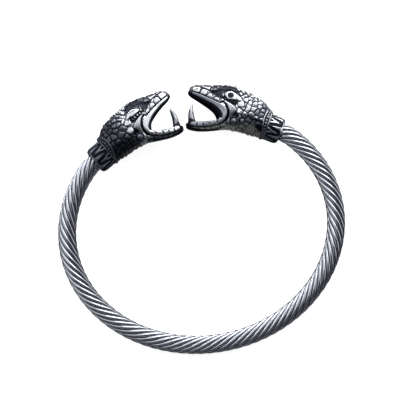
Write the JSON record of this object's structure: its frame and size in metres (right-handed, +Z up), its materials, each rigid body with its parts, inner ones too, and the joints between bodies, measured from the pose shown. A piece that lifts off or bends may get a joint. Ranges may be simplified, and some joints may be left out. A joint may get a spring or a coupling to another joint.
{
  "type": "viking arm ring",
  "caption": "Open oval arm ring of left-hand twisted steel cable, with a leaf-ribbed collar and a cast snake head with open jaws and fangs on each end.",
  "frame": {"origin": "on the table, under the middle of the ring's outline seen from above", "axes": "the ring lies on its side on a table: +Z up, +Y through the gap between the two snouts, +X towards the right head seen from above"},
  "size_m": [0.0757, 0.0702, 0.0115],
  "materials": {
    "cable_steel": "bright steel wires, dark grey in the grooves between them",
    "collar_steel": "oxidised cast steel, polished back on the ribs and beads",
    "head_steel": "oxidised cast steel, nearly black in the recesses and polished back on the lips, eyes and scales"
  },
  "bodies": {
    "root": {"cable_band": "cable_steel", "collar_left": "collar_steel", "collar_right": "collar_steel", "head_left": "head_steel", "head_right": "head_steel"}
  },
  "joints": []
}
